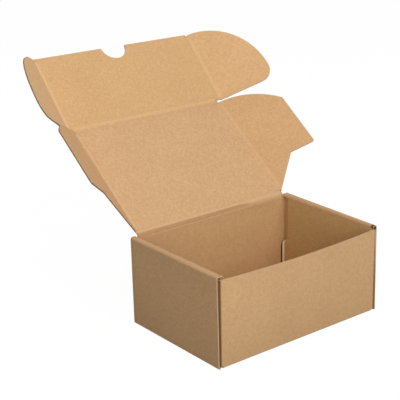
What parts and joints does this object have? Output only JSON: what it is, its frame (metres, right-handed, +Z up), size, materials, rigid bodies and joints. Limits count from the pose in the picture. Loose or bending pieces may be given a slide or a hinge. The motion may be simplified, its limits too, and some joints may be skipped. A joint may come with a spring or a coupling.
{
  "type": "mailer box",
  "caption": "Die-cut kraft corrugated mailer box with attached lid, front flap with thumb notch and ears, and dust flaps, standing open and empty.",
  "frame": {"origin": "middle of the underside of the base, on the table", "axes": "+Z up, +X along the front wall to its right end as seen from the front, +Y from the front wall to the back wall, which carries the lid"},
  "size_m": [0.3029, 0.3028, 0.2432],
  "materials": {
    "kraft_board": "matt kraft"
  },
  "bodies": {
    "tray": {"tray": "kraft_board"},
    "lid": {"lid": "kraft_board"},
    "tuck_flap": {"tuck_flap": "kraft_board"},
    "dust_flap_left": {"dust_flap_left": "kraft_board"},
    "dust_flap_right": {"dust_flap_right": "kraft_board"},
    "ear_left": {"ear_left": "kraft_board"},
    "ear_right": {"ear_right": "kraft_board"}
  },
  "joints": [
    {"name": "lid_hinge", "type": "hinge", "parent": "tray", "child": "lid", "pos_m": [0, 0.06425, 0.08975], "axis": [-1, 0, 0], "range_deg": [-112, 36.7]},
    {"name": "tuck_hinge", "type": "hinge", "parent": "lid", "child": "tuck_flap", "pos_m": [0, 0.17129, 0.16953], "axis": [-1, 0, 0], "range_deg": [-22, 99.6]},
    {"name": "dust_flap_left_hinge", "type": "hinge", "parent": "lid", "child": "dust_flap_left", "pos_m": [-0.09265, 0.06425, 0.08975], "axis": [0, -0.8018, -0.5976], "range_deg": [-44.6, 45.4]},
    {"name": "dust_flap_right_hinge", "type": "hinge", "parent": "lid", "child": "dust_flap_right", "pos_m": [0.09265, 0.06425, 0.08975], "axis": [0, 0.8018, 0.5976], "range_deg": [-69, 21]},
    {"name": "ear_left_hinge", "type": "hinge", "parent": "tuck_flap", "child": "ear_left", "pos_m": [-0.0977, 0.17129, 0.16953], "axis": [0, -0.6909, -0.723], "range_deg": [-43.8, 46.2]},
    {"name": "ear_right_hinge", "type": "hinge", "parent": "tuck_flap", "child": "ear_right", "pos_m": [0.0977, 0.17129, 0.16953], "axis": [0, 0.6909, 0.723], "range_deg": [-61.4, 28.6]}
  ]
}
